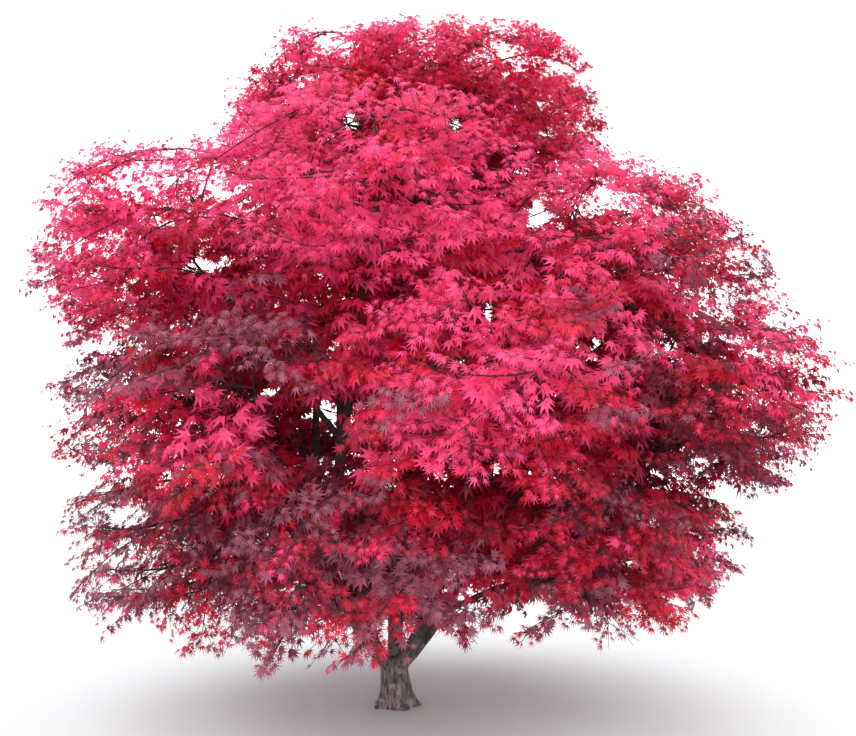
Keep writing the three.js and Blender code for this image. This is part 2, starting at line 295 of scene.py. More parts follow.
# Each gap: its middle in the photograph's pixels and its half width and half height.
SKY_GAPS = (
    (538, 214, 12, 18), (350, 120, 9, 14), (455, 122, 9, 11), (205, 265, 22, 9), (320, 272, 12, 8),
    (490, 310, 8, 16), (600, 342, 9, 9), (270, 390, 9, 8), (316, 412, 10, 11), (220, 12, 84, 78),
    (345, -6, 120, 38), (126, 98, 104, 50),
)
# Gaps in the near side only, where dark limbs show.
LIMB_GAPS = ((305, 425, 44, 34), (250, 385, 34, 16), (570, 690, 160, 62), (432, 640, 26, 22))
NEAR_SIDE = -0.2
# Around a gap's edge, which is 1: where the middles of sprays and the leaves start, and how leafy a spray
# has to be to stay.
SPRAY_GAP = 0.7
HALF_WAY = 0.5
RAGGED_GAP = (0.6, 1.15)
BARE_SPRAY = 0.35


def settings(name):
    return getattr(bpy.context.scene, name)


# Numbers and lines of the solids' rule


def generator(seed):
    """The solids' own seeded numbers from 0 to 1."""
    state = (SEED * SEED_FACTOR + seed * STREAM_FACTOR) & WORD

    def draw():
        nonlocal state
        state = (state + STATE_STEP) & WORD
        t = ((state ^ (state >> FIRST_SHIFT)) * (state | 1)) & WORD
        t ^= (t + ((t ^ (t >> SECOND_SHIFT)) * (t | MIXING_BITS) & WORD)) & WORD
        return ((t ^ (t >> LAST_SHIFT)) & WORD) / (WORD + 1)

    return draw


def unit(v):
    return v / np.maximum(np.linalg.norm(v, axis=-1, keepdims=True), LEAST_LENGTH)


def between(values, start, end):
    """0 up to the start and 1 past the end, rising evenly from one to the other."""
    return np.clip((values - start) / (end - start), 0, 1)


def level(v):
    return unit(v * (1.0, 1.0, 0.0))


def aim(azimuth, rise):
    azimuth, rise = np.broadcast_arrays(np.asarray(azimuth, float), np.asarray(rise, float))
    across = np.cos(rise)
    return np.stack((across * np.cos(azimuth), across * np.sin(azimuth), np.sin(rise)), axis=-1)


def stretched(v):
    return v / (1.0, 1.0, FLATNESS)


def unstretched(v):
    return v * (1.0, 1.0, FLATNESS)


@dataclass
class Line:
    """A limb's bowed line, with places along it by length."""

    points: np.ndarray

    def at(self, t):
        t = np.asarray(t, float)[..., None]
        a, b, c, d = self.points
        return a * (1 - t) ** 3 + 3 * b * t * (1 - t) ** 2 + 3 * c * t**2 * (1 - t) + d * t**3

    def heading(self, t):
        step = 1e-4
        return unit(self.at(t + step) - self.at(t - step))

    def spaced(self, count):
        """Evenly spaced points, their shares of the length, and the length."""
        fine = np.linspace(0, 1, LINE_STEPS)
        places = self.at(fine)
        run = np.concatenate(([0], np.cumsum(np.linalg.norm(np.diff(places, axis=0), axis=1))))
        shares = np.linspace(0, 1, count)
        return self.at(np.interp(shares * run[-1], run, fine)), shares, run[-1]


def bowed(start, heading, end, arrival):
    bow = np.linalg.norm(end - start) * LIMB_BOW
    return Line(np.array((start, start + unit(heading) * bow, end - unit(arrival) * bow, end)))


def at_height(line, height):
    low, high = 0.0, 1.0
    for _ in range(HALVINGS):
        middle = (low + high) / 2
        if line.at(middle)[2] < height:
            low = middle
        else:
            high = middle
    return line.at(low), line.heading(low)


@dataclass
class Pad:
    """One leaf pad and the limb that carries it."""

    name: str
    tier: str
    order: int
    index: int
    azimuth: float
    centre: np.ndarray
    radius: float
    walls: list = field(default_factory=list)
    root: np.ndarray = None
    line: Line = None
    base: float = STEM_BASE
    tip: float = STEM_TIP

    def reach(self, directions):
        """How far the pad's space goes along stretched directions."""
        limit = np.full(directions.shape[:-1], self.radius)
        for apart, middle in self.walls:
            towards = directions @ apart
            wall = middle / np.maximum(towards, LEAST_SHARE)
            limit = np.where(towards > LEAST_SHARE, np.minimum(limit, wall), limit)
        return limit

    def towards_edge(self, directions, share):
        distance = self.reach(directions) * share
        return unstretched(directions * distance[..., None]) + self.centre

    def sag(self, points):
        """How far the lowest pads hang below their solids on the left."""
        below = np.clip((self.centre[2] - points[..., 2]) / (FLATNESS * self.radius), 0, 1)
        on_left = np.clip((SAG_START - points[..., 0]) / SAG_WIDTH, 0, 1)
        return UP * (below * on_left * (SAG if self.tier == "skirt" else 0.0))[..., None]

    def ball_depth(self, points):
        """0 at the pad's middle, 1 at its full radius, before it sags."""
        return np.linalg.norm(stretched(points + self.sag(points) - self.centre), axis=-1) / self.radius


def make_pads():
    pads = []
    for tier in TIERS:
        for order in range(tier["count"]):
            draw = generator(len(pads))
            azimuth = math.radians(tier["turn"]) + 2 * math.pi * order / tier["count"]
            ring = tier["ring"] * (1 + TIER_WANDER * (2 * draw() - 1))
            height = tier["height"] * ((1 + TIER_WANDER * (2 * draw() - 1)) if tier["ring"] > 0 else 1)
            centre = np.array((ring * math.cos(azimuth) + tier["shift"], ring * math.sin(azimuth), height))
            name = f"{tier['name']}_{order + 1}"
            pads.append(Pad(name, tier["name"], order, len(pads), azimuth, centre, tier["pad"]))
    for pad in pads:
        for other in pads:
            if other is pad:
                continue
            apart = stretched(other.centre - pad.centre)
            middle = (apart @ apart + pad.radius**2 - other.radius**2) / 2
            pad.walls.append((apart, middle - SPACE_MARGIN * np.linalg.norm(apart)))
    return pads


def root_of(pad, start):
    half_way = (start + pad.centre) / 2
    return pad.towards_edge(unit(stretched(half_way - pad.centre)), ROOT_SHARE)


def grow_limbs():
    """The pads with the lines of their stems and boughs."""
    pads = make_pads()
    stems = []
    for pad in pads:
        if pad.tier not in LEADER_TIERS:
            continue
        foot = np.array((TRUNK_LEAN * STEM_START / TRUNK_HEIGHT, 0.0, STEM_START))
        splay = math.radians(0 if pad.tier == "top" else STEM_SPLAY)
        pad.root = root_of(pad, foot)
        pad.line = bowed(foot, aim(pad.azimuth, math.pi / 2 - splay), pad.root, UP)
        stems.append(pad.line)
    for pad in pads:
        if pad.tier in LEADER_TIERS:
            continue
        step = pad.order % BOUGH_START_CYCLE - 1
        start = pad.centre[2] * (BOUGH_START_SHARE + BOUGH_START_STEP * step)
        places = [at_height(line, start) for line in stems]
        point, tangent = min(places, key=lambda place: np.linalg.norm(place[0] - pad.centre))
        pad.root = root_of(pad, point)
        pad.line = bowed(point, level(pad.centre - point) + tangent, pad.root, pad.centre - pad.root)
        pad.base = BOUGH_TIP + BOUGH_SLENDERNESS * pad.line.spaced(2)[2]
        pad.tip = BOUGH_TIP
    return pads


# Meshes


def mesh_object(name, vertices, faces, material, smooth=True):
    mesh = bpy.data.meshes.new(name)
    mesh.from_pydata(vertices, [], faces)
    mesh.update()
    return shown(name, mesh, material, smooth)


def shown(name, mesh, material, smooth=True):
    made = bpy.data.objects.new(name, mesh)
    bpy.context.collection.objects.link(made)
    mesh.materials.clear()
    mesh.materials.append(material)
    if smooth:
        mesh.shade_smooth()
    else:
        mesh.shade_flat()
    return made


def evaluated_mesh(made):
    bpy.context.view_layer.update()
    depsgraph = bpy.context.evaluated_depsgraph_get()
    return bpy.data.meshes.new_from_object(made.evaluated_get(depsgraph))


def remove(made):
    data = made.data
    bpy.data.objects.remove(made)
    if data.users == 0:
        bpy.data.meshes.remove(data)


def closed_rings(rings):
    """One skin over a row of rings with the same number of points, closed at both ends."""
    count, sides = len(rings), len(rings[0])
    faces = []
    for ring in range(count - 1):
        for k in range(sides):
            a = ring * sides + k
            b = ring * sides + (k + 1) % sides
            faces.append((a, b, b + sides, a + sides))
    last = (count - 1) * sides
    faces.append(tuple(range(sides - 1, -1, -1)))
    faces.append(tuple(range(last, last + sides)))
    return np.concatenate(rings), faces


def tube(points, radii, sides):
    """Round rings along a path, each square to it."""
    tangents = unit(np.gradient(points, axis=0))
    side = unit(np.cross(tangents[0], START_SIDE))
    angles = np.linspace(0, 2 * np.pi, sides, endpoint=False)[:, None]
    rings = []
    for point, tangent, radius in zip(points, tangents, radii):
        side = unit(side - tangent * (side @ tangent))
        other = np.cross(tangent, side)
        rings.append(point + radius * (np.cos(angles) * side + np.sin(angles) * other))
    return closed_rings(rings)


def joined(parts):
    vertices, faces, start = [], [], 0
    for part_vertices, part_faces in parts:
        vertices.append(part_vertices)
        faces.extend(tuple(i + start for i in face) for face in part_faces)
        start += len(part_vertices)
    return np.concatenate(vertices), faces


# Materials


class Painter:
    """Builds one material's nodes, on Object coordinates."""

    def __init__(self, name):
        self.material = bpy.data.materials.new(name)
        self.material.use_nodes = True
        self.tree = self.material.node_tree
        self.shader = self.tree.nodes["Principled BSDF"]
        self.place = self.tree.nodes.new("ShaderNodeTexCoord").outputs["Object"]

    def link(self, source, target):
        self.tree.links.new(source, target)

    def stretch(self, scale):
        node = self.tree.nodes.new("ShaderNodeMapping")
        node.inputs["Scale"].default_value = scale
        self.link(self.place, node.inputs["Vector"])
        return node.outputs["Vector"]

    def grain(self, place, scale, detail, roughness):
        node = self.tree.nodes.new("ShaderNodeTexNoise")
        node.inputs["Scale"].default_value = scale
        node.inputs["Detail"].default_value = detail
        node.inputs["Roughness"].default_value = roughness
        self.link(place, node.inputs["Vector"])
        return node.outputs["Fac"]

    def ramp(self, source, stops):
        node = self.tree.nodes.new("ShaderNodeValToRGB")
        elements = node.color_ramp.elements
        while len(elements) < len(stops):
            elements.new(0.5)
        for element, (position, colour) in zip(elements, stops):
            element.position = position
            element.color = (*colour, 1.0)
        self.link(source, node.inputs["Fac"])
        return node.outputs["Color"]

    def share(self, source, low, high):
        node = self.tree.nodes.new("ShaderNodeMapRange")
        node.inputs["From Min"].default_value = low
        node.inputs["From Max"].default_value = high
        self.link(source, node.inputs["Value"])
        return node.outputs["Result"]

    def mix(self, factor, first, second):
        node = self.tree.nodes.new("ShaderNodeMix")
        node.data_type = "RGBA"
        self.link(factor, node.inputs["Factor"])
        for number, value in zip(MIX_COLOURS, (first, second)):
            socket = node.inputs[number]
            if isinstance(value, bpy.types.NodeSocket):
                self.link(value, socket)
            else:
                socket.default_value = (*value, 1.0)
        return node.outputs[MIX_BLEND]

    def bump(self, height, strength, distance):
        node = self.tree.nodes.new("ShaderNodeBump")
        node.inputs["Strength"].default_value = strength
        node.inputs["Distance"].default_value = distance
        self.link(height, node.inputs["Height"])
        self.link(node.outputs["Normal"], self.shader.inputs["Normal"])

    def finish(self, roughness, specular):
        self.shader.inputs["Roughness"].default_value = roughness
        self.shader.inputs["Specular IOR Level"].default_value = specular


def bark_material(name, light, dark):
    """Grey bark with darker furrows along the limb and pale weathered patches, and painted shade that
    darkens it in the crown.
    """
    weathered = tuple(settings("maple_bark").weathered)
    paint = Painter(name)
    furrows = paint.grain(paint.stretch(BARK_STRETCH), **BARK_FURROWS)
    colour = paint.ramp(furrows, tuple(zip(BARK_STOPS, (dark, light, weathered))))
    blotches = paint.share(paint.grain(paint.place, **BARK_BLOTCHES), *BLOTCH_EDGES)
    low_bark = paint.mix(blotches, colour, weathered)
    # Painted shade: higher up, the bark goes over to this darker mix, as if the limbs were shaded by the
    # crown.
    shaded_crown_bark = paint.mix(furrows, dark, tuple(c * CROWN_SHADE_DIMMING for c in light))
    split = paint.tree.nodes.new("ShaderNodeSeparateXYZ")
    paint.link(paint.place, split.inputs["Vector"])
    height = paint.share(split.outputs["Z"], *CROWN_SHADE_HEIGHTS)
    paint.link(paint.mix(height, low_bark, shaded_crown_bark), paint.shader.inputs["Base Color"])
    paint.finish(*BARK_FINISH)
    paint.bump(furrows, BUMP_STRENGTH, BUMP_DEPTH)
    return paint.material


def leaf_material(name, tint):
    """One autumn tint, mottled from leaf to leaf, thin enough to let light through."""
    paint = Painter(name)
    mottle = paint.grain(paint.place, **LEAF_MOTTLE)
    shade = tuple(c * MOTTLE_SHADE for c in tint)
    colour = paint.ramp(mottle, tuple(zip(MOTTLE_STOPS, (shade, tint))))
    paint.link(colour, paint.shader.inputs["Base Color"])
    paint.finish(*LEAF_FINISH)
    glow = paint.tree.nodes.new("ShaderNodeBsdfTranslucent")
    paint.link(colour, glow.inputs["Color"])
    blend = paint.tree.nodes.new("ShaderNodeMixShader")
    blend.inputs["Fac"].default_value = settings("maple_leaves").glow
    paint.link(paint.shader.outputs["BSDF"], blend.inputs[1])
    paint.link(glow.outputs["BSDF"], blend.inputs[2])
    paint.link(blend.outputs["Shader"], paint.tree.nodes["Material Output"].inputs["Surface"])
    return paint.material


def floor_material(colour):
    paint = Painter("pale floor")
    cloud = paint.grain(paint.place, **FLOOR_CLOUD)
    tone = paint.mix(cloud, tuple(c * FLOOR_SHADE for c in colour), tuple(colour))
    paint.link(tone, paint.shader.inputs["Base Color"])
    paint.finish(*FLOOR_FINISH)
    return paint.material


# Bark


def trunk_radius(along, angles):
    """The solid trunk's own radius at a share of its height, by the angle round it."""
    swell = FLARE * math.exp(-along * TRUNK_HEIGHT / FLARE_HEIGHT)
    rounding = max(0.0, 1 - (1 - along) / TRUNK_ROUNDING)
    waist = TRUNK_RADIUS + (TRUNK_CROWN_RADIUS - TRUNK_RADIUS) * rounding**2
    return waist + swell * (1 + RIDGE_SHARE * np.cos(ROOT_RIDGES * angles))


def trunk_tube():
    """The trunk's level rings, from below the ground to the fork."""
    top = np.array((TRUNK_LEAN, 0, TRUNK_HEIGHT))
    points, shares, _ = bowed(np.zeros(3), UP, top, top).spaced(TRUNK_RINGS)
    points = np.concatenate(([(0, 0, -TRUNK_BURIED)], points))
    shares = np.concatenate(([0], shares))
    angles = np.linspace(0, 2 * np.pi, TRUNK_SIDES, endpoint=False)
    ways = np.stack((np.cos(angles), np.sin(angles), 0 * angles), 1)
    return closed_rings([
        point + ways * trunk_radius(share, angles)[:, None] for point, share in zip(points, shares)
    ])


def limb_tube(pad, ring_gap, sides):
    _, _, length = pad.line.spaced(2)
    points, shares, _ = pad.line.spaced(max(LEAST_RINGS, round(length / ring_gap)))
    return tube(points, pad.base + (pad.tip - pad.base) * shares, sides)


def vertex_values(rows, key):
    values = np.zeros(len(rows) * 3)
    rows.foreach_get(key, values)
    return values.reshape(-1, 3)


def roughen(mesh, depth, grain):
    """Pushes the skin in and out: furrows along the limb and broader swellings."""
    places = vertex_values(mesh.vertices, "co")
    moves = np.empty(len(places))
    for i, place in enumerate(places * grain):
        furrow = noise.noise(Vector(place * FURROW_GRAIN))
        swelling = noise.noise(Vector(place * SWELLING_GRAIN))
        moves[i] = depth * (FURROW_DEPTH * abs(furrow) + SWELLING_DEPTH * swelling - SINKING)
    places += vertex_values(mesh.vertex_normals, "vector") * moves[:, None]
    mesh.vertices.foreach_set("co", places.ravel())
    mesh.update()


def cut_at_ground(mesh):
    work = bmesh.new()
    work.from_mesh(mesh)
    everything = work.verts[:] + work.edges[:] + work.faces[:]
    cut = bmesh.ops.bisect_plane(
        work, geom=everything, plane_co=(0, 0, 0), plane_no=(0, 0, 1), clear_inner=True
    )
    edges = [e for e in cut["geom_cut"] if isinstance(e, bmesh.types.BMEdge)]
    bmesh.ops.holes_fill(work, edges=edges)
    bmesh.ops.recalc_face_normals(work, faces=work.faces)
    work.to_mesh(mesh)
    work.free()


# Twigs and leaves


@dataclass
class Twigs:
    """Paths of one kind of twig: points (path, place, xyz) and the radii along them."""

    points: np.ndarray
    radii: np.ndarray


@dataclass
class Sprays:
    """Twiglets that carry leaves: their feet, headings, lengths, depths under other leaves and tints."""

    feet: np.ndarray
    forward: np.ndarray
    lengths: np.ndarray
    hidden: np.ndarray
    tints: np.ndarray

    def chosen(self, keep):
        rows = (self.feet, self.forward, self.lengths, self.hidden, self.tints)
        return Sprays(*(row[keep] for row in rows))

    def at(self, shares):
        """Places at the given shares of each spray's length, one row for each spray."""
        return self.feet[:, None] + self.forward[:, None] * (self.lengths[:, None] * shares)[..., None]


@dataclass
class Crown:
    """All the twigs, and for each leaf its place, facing, heading, size, tint and whether it is shaded."""

    branchlets: Twigs
    twiglets: Twigs
    places: np.ndarray
    facings: np.ndarray
    headings: np.ndarray
    sizes: np.ndarray
    tints: np.ndarray
    shaded: np.ndarray


def source_layers(pad):
    """The middles and lobe tips of the solid pad's layers, from the same numbers."""
    draw = generator(LEAF_SEEDS + pad.index)
    inwards = level(pad.root - pad.centre)
    layers = []
    for layer in LAYERS:
        turn = draw() * 2 * math.pi
        middle = pad.towards_edge(np.sign(layer["middle"]) * UP[None], abs(layer["middle"]))[0]
        middle = middle + LAYER_DRIFT * pad.radius * draw() * aim(turn, 0)
        lobes = []
        for corner in range(2 * LAYER_LOBES):
            is_tip = corner % 2 == 0
            rise = math.radians(layer["rise"] + (0 if is_tip else LAYER_NOTCH_RISE))
            direction = aim(turn - corner * math.pi / LAYER_LOBES, rise)
            wander = LAYER_WANDER * draw()
            narrowing = 1 + (INNER_SHARE - 1) * max(0.0, direction @ inwards)
            lobes.append((direction, (LAYER_TIP_SHARE - wander) * narrowing, is_tip))
        layers.append((middle, lobes))
    return layers


def pad_stem(pad, count):
    """Points along the pad's own stem, from its limb through the layers' middles."""
    corners = np.array([pad.root, *(middle for middle, _ in source_layers(pad))])
    places = np.linspace(0, len(corners) - 1, count)
    return np.stack([np.interp(places, np.arange(len(corners)), axis) for axis in corners.T], axis=1)


def curve(starts, bends, ends, shares):
    t = shares[..., None]
    return starts[:, None] * (1 - t) ** 2 + 2 * bends[:, None] * t * (1 - t) + ends[:, None] * t**2


def curve_heading(starts, bends, ends, shares):
    t = shares[..., None]
    return unit(2 * (bends - starts)[:, None] * (1 - t) + 2 * (ends - bends)[:, None] * t)


def photo_pixels(points):
    stage = settings("maple_stage")
    pitch = stage.pitch
    offset = points - np.array(stage.eye)
    ahead = offset[..., 1] * math.cos(pitch) + offset[..., 2] * math.sin(pitch)
    rise = offset[..., 2] * math.cos(pitch) - offset[..., 1] * math.sin(pitch)
    focal = stage.lens / SENSOR_WIDTH * PHOTO_SIZE[0]
    return PHOTO_SIZE[0] / 2 + focal * offset[..., 0] / ahead, PHOTO_SIZE[1] / 2 - focal * rise / ahead


def gap_nearness(points):
    """How far each point lies from the middle of the nearest gap, where 1 is the gap's edge."""
    x, y = photo_pixels(points)
    nearest = np.full(points.shape[:-1], np.inf)
    for gaps, in_reach in ((SKY_GAPS, True), (LIMB_GAPS, points[..., 1] < NEAR_SIDE)):
        for middle_x, middle_y, half_width, half_height in gaps:
            distance = np.hypot((x - middle_x) / half_width, (y - middle_y) / half_height)
            nearest = np.minimum(nearest, np.where(in_reach, distance, np.inf))
    return nearest


def fork_from(parent, share):
    """The point and heading at a share of one branchlet's length."""
    rows = [row[None] for row in parent]
    shares = np.array([[share]])
    return curve(*rows, shares)[0, 0], curve_heading(*rows, shares)[0, 0]


def in_open_sky(branchlet):
    """True for a branchlet that runs mostly through gaps."""
    rows = [row[None] for row in branchlet]
    points = curve(*rows, np.linspace(0, 1, BRANCHLET_POINTS)[None])
    return (gap_nearness(points) < 1).mean() > OPEN_SHARE


def grow_branchlets(pad, twig, draw):
    """Each layer's branchlets: some from its middle, the rest forking in turn from the one before."""
    grown = []
    for middle, lobes in source_layers(pad):
        row, kept = [], []
        for corner, (direction, share, is_tip) in enumerate(lobes):
            azimuth = math.atan2(direction[1], direction[0]) + draw.normal(0, TURN_SPREAD)
            rise = math.asin(direction[2]) + draw.normal(0, RISE_SPREAD) + (0.0 if is_tip else NOTCH_LIFT)
            reach = share * draw.uniform(*REACHES) * (1.0 if is_tip else NOTCH_REACH)
            ends = pad.towards_edge(aim(azimuth, np.full(len(SHORTER), rise)), reach * np.array(SHORTER))
            ends = ends - pad.sag(ends)
            end = ends[np.argmax(gap_nearness(ends) > 1)]
            if corner % MAIN_EVERY == 0:
                start, heading, is_held = middle, level(end - middle), True
            else:
                back, at = (2, TIP_FORK) if is_tip else (1, NOTCH_FORK)
                start, heading = fork_from(row[-back], at + draw.uniform(-FORK_WANDER, FORK_WANDER))
                is_held = kept[-back]
            length = np.linalg.norm(end - start)
            row.append((start, start + (heading * BEND + UP * twig.arch) * length, end))
            kept.append(is_held and not in_open_sky(row[-1]))
        grown.extend(branchlet for branchlet, is_kept in zip(row, kept) if is_kept)
    return tuple(np.array(column) for column in zip(*grown))


def tint_of(places, hidden, chance):
    """Deals a tint to each spray: bright above and in front as painted light, mauve low on the left, deep
    inside as painted shade.
    """
    x, y, z = places.T
    high = between(z, *HIGH)
    low = between(z, *LOW)
    right = between(x, *RIGHT)
    left = between(x + LEFT_LEAN * z, *LEFT) * between(z, *LEFT_HEIGHT)
    # Painted shade: sprays deep under other leaves get more of the deep wine tint.
    shade = between(hidden, *SHADE)
    clear = (1 - RIGHT_DULLING * right) * (1 - LEFT_DULLING * left)
    fields = {
        "always": np.ones(len(places)),
        "high": high,
        "low": low,
        "right": right,
        "left": left,
        "shade": shade,
        # Painted light: the bright tint high up and in front, where the light falls.
        "lit_high": clear * high,
        "lit_front": clear * between(y, *TOWARDS_CAMERA) * between(z, *BRIGHT_HEIGHT),
        "right_above_skirt": right * (1 - SKIRT_CLEARING * low),
        "right_middle": right * (1 - low) * (1 - high),
        "left_above_skirt": left * (1 - low),
        "open_left": left * (1 - shade),
        "open_low": low * (1 - shade),
        "open_right": right * (1 - shade),
    }
    weights = np.stack([
        sum(weight * fields[field_name] for field_name, weight in row.items())
        for row in TINT_WEIGHTS.values()
    ], axis=1)
    weights = np.cumsum(weights / weights.sum(1, keepdims=True), axis=1)
    return (chance[:, None] > weights[:, :-1]).sum(1)


def patches(points):
    """A smooth field from 0 to 1 over space, so that sprays near each other take the same tint."""
    draw = np.random.default_rng(PATCH_SEED)
    waves = unit(draw.normal(0, 1, (PATCH_WAVES, 3))) * (2 * math.pi / PATCH_SIZE)
    waves *= draw.uniform(*PATCH_SIZES, (PATCH_WAVES, 1))
    swell = np.sin(points @ waves.T + draw.uniform(0, 2 * math.pi, PATCH_WAVES)).sum(1)
    return 1 / (1 + np.exp(-PATCH_CONTRAST * swell / math.sqrt(PATCH_WAVES)))


def hidden_depth(points, pads):
    """How far foliage reaches over each point, on the clearest of its ways out of the crown."""
    outwards = level(points - np.array(CROWN_MIDDLE))
    centres = np.array([stretched(pad.centre) for pad in pads])
    radii = np.array([pad.radius for pad in pads])
    ways = (outwards, unit(outwards + UP), np.broadcast_to(UP, points.shape), unit(outwards - UP))
    covers = []
    for way in ways:
        cover = np.zeros(len(points))
        for step in range(1, HIDING_STEPS + 1):
            probe = stretched(points + way * (step * HIDING_STEP))
            apart = np.linalg.norm(probe[:, None] - centres[None], axis=-1)
            cover += HIDING_STEP * (apart < HIDING_SHARE * radii).any(1)
        covers.append(cover)
    return np.min(covers, axis=0)


def spray_count(pad, twig):
    """More sprays on a branchlet for high pads and on the right, fewer behind."""
    x, y, z = pad.centre
    on_right = between(x, RICH_START, RICH_START + RICH_WIDTH)
    behind = between(y, 0.0, RICH_WIDTH)
    richness = 1 + RICHER_UPWARDS * (z - RICH_HEIGHT) + RICHER_RIGHT * on_right - SPARSER_BEHIND * behind
    return round(twig.sprays * np.clip(richness, *RICHNESS))


def branchlet_sprays(pad, branchlets, twig, draw):
    """Feet, headings and lengths of the sprays that alternate along each branchlet."""
    count = spray_count(pad, twig)
    along = twig.bare + (1 - twig.bare) * ((np.arange(count) + 1.0) / count) ** OUTER_CROWDING
    parents = len(branchlets[0])
    along = np.minimum(along[None] + draw.normal(0, SPRAY_WANDER, (parents, count)), 1.0)
    feet = curve(*branchlets, along).reshape(-1, 3)
    ahead = curve_heading(*branchlets, along).reshape(-1, 3)
    hand = np.where(np.arange(count) % 2 == 0, 1.0, -1.0)
    hand[-1] = 0.0
    turns = (hand[None] * SPRAY_TURN + draw.normal(0, SPRAY_TURN_SPREAD, along.shape)).reshape(-1)
    side = unit(np.cross(ahead, UP))
    forward = level(level(ahead) * np.cos(turns)[:, None] + side * np.sin(turns)[:, None])
    along = along.reshape(-1)
    lift = np.clip((feet[:, 2] - LEVEL_HEIGHT) / LIFT_HEIGHT, -1.0, 1.0)
    lowest = np.minimum(SLOPE_FOR_LIFT * lift + LOWEST_SLOPE, 0.0)
    slope = np.clip(ahead[:, 2], lowest, STEEPEST_SLOPE)
    slope += twig.crest * (1 - along) + twig.lift * lift * along
    forward = unit(forward + UP * (slope + draw.normal(0, SLOPE_SPREAD, len(feet)))[:, None])
    lengths = twig.spray_length * draw.uniform(*SPRAY_LENGTHS, len(feet))
    started = pad.ball_depth(feet)
    reached = pad.ball_depth(feet + forward * lengths[:, None])
    lengths *= np.clip((1.0 - started) / np.maximum(reached - started, LEAST_SHARE), SHORTEST_SPRAY, 1.0)
    return feet, forward, lengths


def limb_spurs(pad, twig, draw):
    """Feet, headings and lengths of the leafy spurs along the limb, through the pad and in the neck."""
    _, _, length = pad.line.spaced(2)
    feet, shares, _ = pad.line.spaced(round(length / twig.spur_gap))
    groups = [(feet[(shares > SPUR_START) & (feet[:, 2] > SPUR_HEIGHT)], twig.spur_length)]
    inside = pad_stem(pad, round(2 * pad.radius * FLATNESS / twig.spur_gap * STEM_CROWDING))
    groups.append((inside, STEM_SPUR * pad.radius))
    if pad.tier in LEADER_TIERS:
        groups.append((pad.line.at(draw.uniform(*NECK, NECK_SPURS)), NECK_LENGTH))
    feet = np.concatenate([group for group, _ in groups])
    lengths = np.concatenate([np.full(len(group), size) for group, size in groups])
    turns = draw.uniform(0, 2 * math.pi, len(feet))
    forward = aim(turns, draw.normal(SPUR_RISE, SPUR_RISE_SPREAD, len(feet)))
    return feet, forward, lengths * draw.uniform(*SPUR_LENGTHS, len(feet))


def grow_sprays(pad, pads, branchlets, twig, draw):
    """The pad's sprays, thinned where they are hidden and open where gaps show, then its limb's spurs."""
    grown = branchlet_sprays(pad, branchlets, twig, draw)
    spurs = limb_spurs(pad, twig, draw)
    feet, forward, lengths = (np.concatenate(pair) for pair in zip(grown, spurs))
    is_spur = np.arange(len(feet)) >= len(grown[0])
    hidden = hidden_depth(feet, pads)
    is_open = is_spur & (hidden < SPUR_COVER)
    lengths = np.where(is_open, np.minimum(lengths, twig.spray_length), lengths)
    chance = np.where(draw.random(len(feet)) < TINT_GROUPING, patches(feet), draw.random(len(feet)))
    sprays = Sprays(feet, forward, lengths, hidden, tint_of(feet, hidden, chance))
    share = np.clip(THIN_START - THIN_SLOPE * hidden, twig.inner_share, 1.0)
    is_bare = is_open & (pad.ball_depth(feet) > ROOT_SHARE)
    keep = draw.random(len(feet)) < np.where(is_spur, ~is_bare, share)
    middles = sprays.at(np.full((1, 1), HALF_WAY))[:, 0]
    keep &= gap_nearness(middles) > SPRAY_GAP
    return sprays.chosen(keep), is_spur[keep]


def grow_leaves(sprays, leaf, draw):
    """Opposite pairs of leaves along each spray and one at its end, hanging outwards by their stalks."""
    pairs = leaf.pairs
    nodes = (np.arange(pairs) + 0.5) / pairs
    stations = np.concatenate((nodes, nodes, (1.0,)))
    hands = np.concatenate((np.ones(pairs), -np.ones(pairs), (0.0,)))
    shape = (len(sprays.feet), len(stations))
    joints = sprays.at(np.clip(stations[None] + draw.normal(0, LEAF_WANDER, shape), 0.0, 1.0))
    spread = hands[None] * LEAF_TURN + draw.normal(0, LEAF_TURN_SPREAD, shape)
    forward = sprays.forward[:, None]
    across = unit(np.cross(forward, UP))
    heading = forward * np.cos(spread)[..., None] + across * np.sin(spread)[..., None]
    heading = unit(heading - UP * draw.uniform(*LEAF_DIP, shape)[..., None])
    outward = unit((joints - np.array(CROWN_MIDDLE)) * OUTWARD_LEVEL)
    spray_tilt = draw.normal(0, SPRAY_TILT, (len(sprays.feet), 1, 3))
    leaf_tilt = draw.normal(0, LEAF_TILT, (*shape, 3))
    facing = unit(UP * FACING_UP + outward * FACING_OUT + spray_tilt + leaf_tilt)
    heading = unit(heading - facing * (heading * facing).sum(-1, keepdims=True))
    in_shade = between(sprays.hidden, SHADE_START, SHADE_START + SHADE_DEPTH)
    sizes = leaf.span * draw.uniform(*LEAF_SIZES, shape) * (1 + leaf.shade_growth * in_shade[:, None])
    places = joints + heading * (leaf.stalk * sizes)[..., None]
    return places, facing, heading, sizes


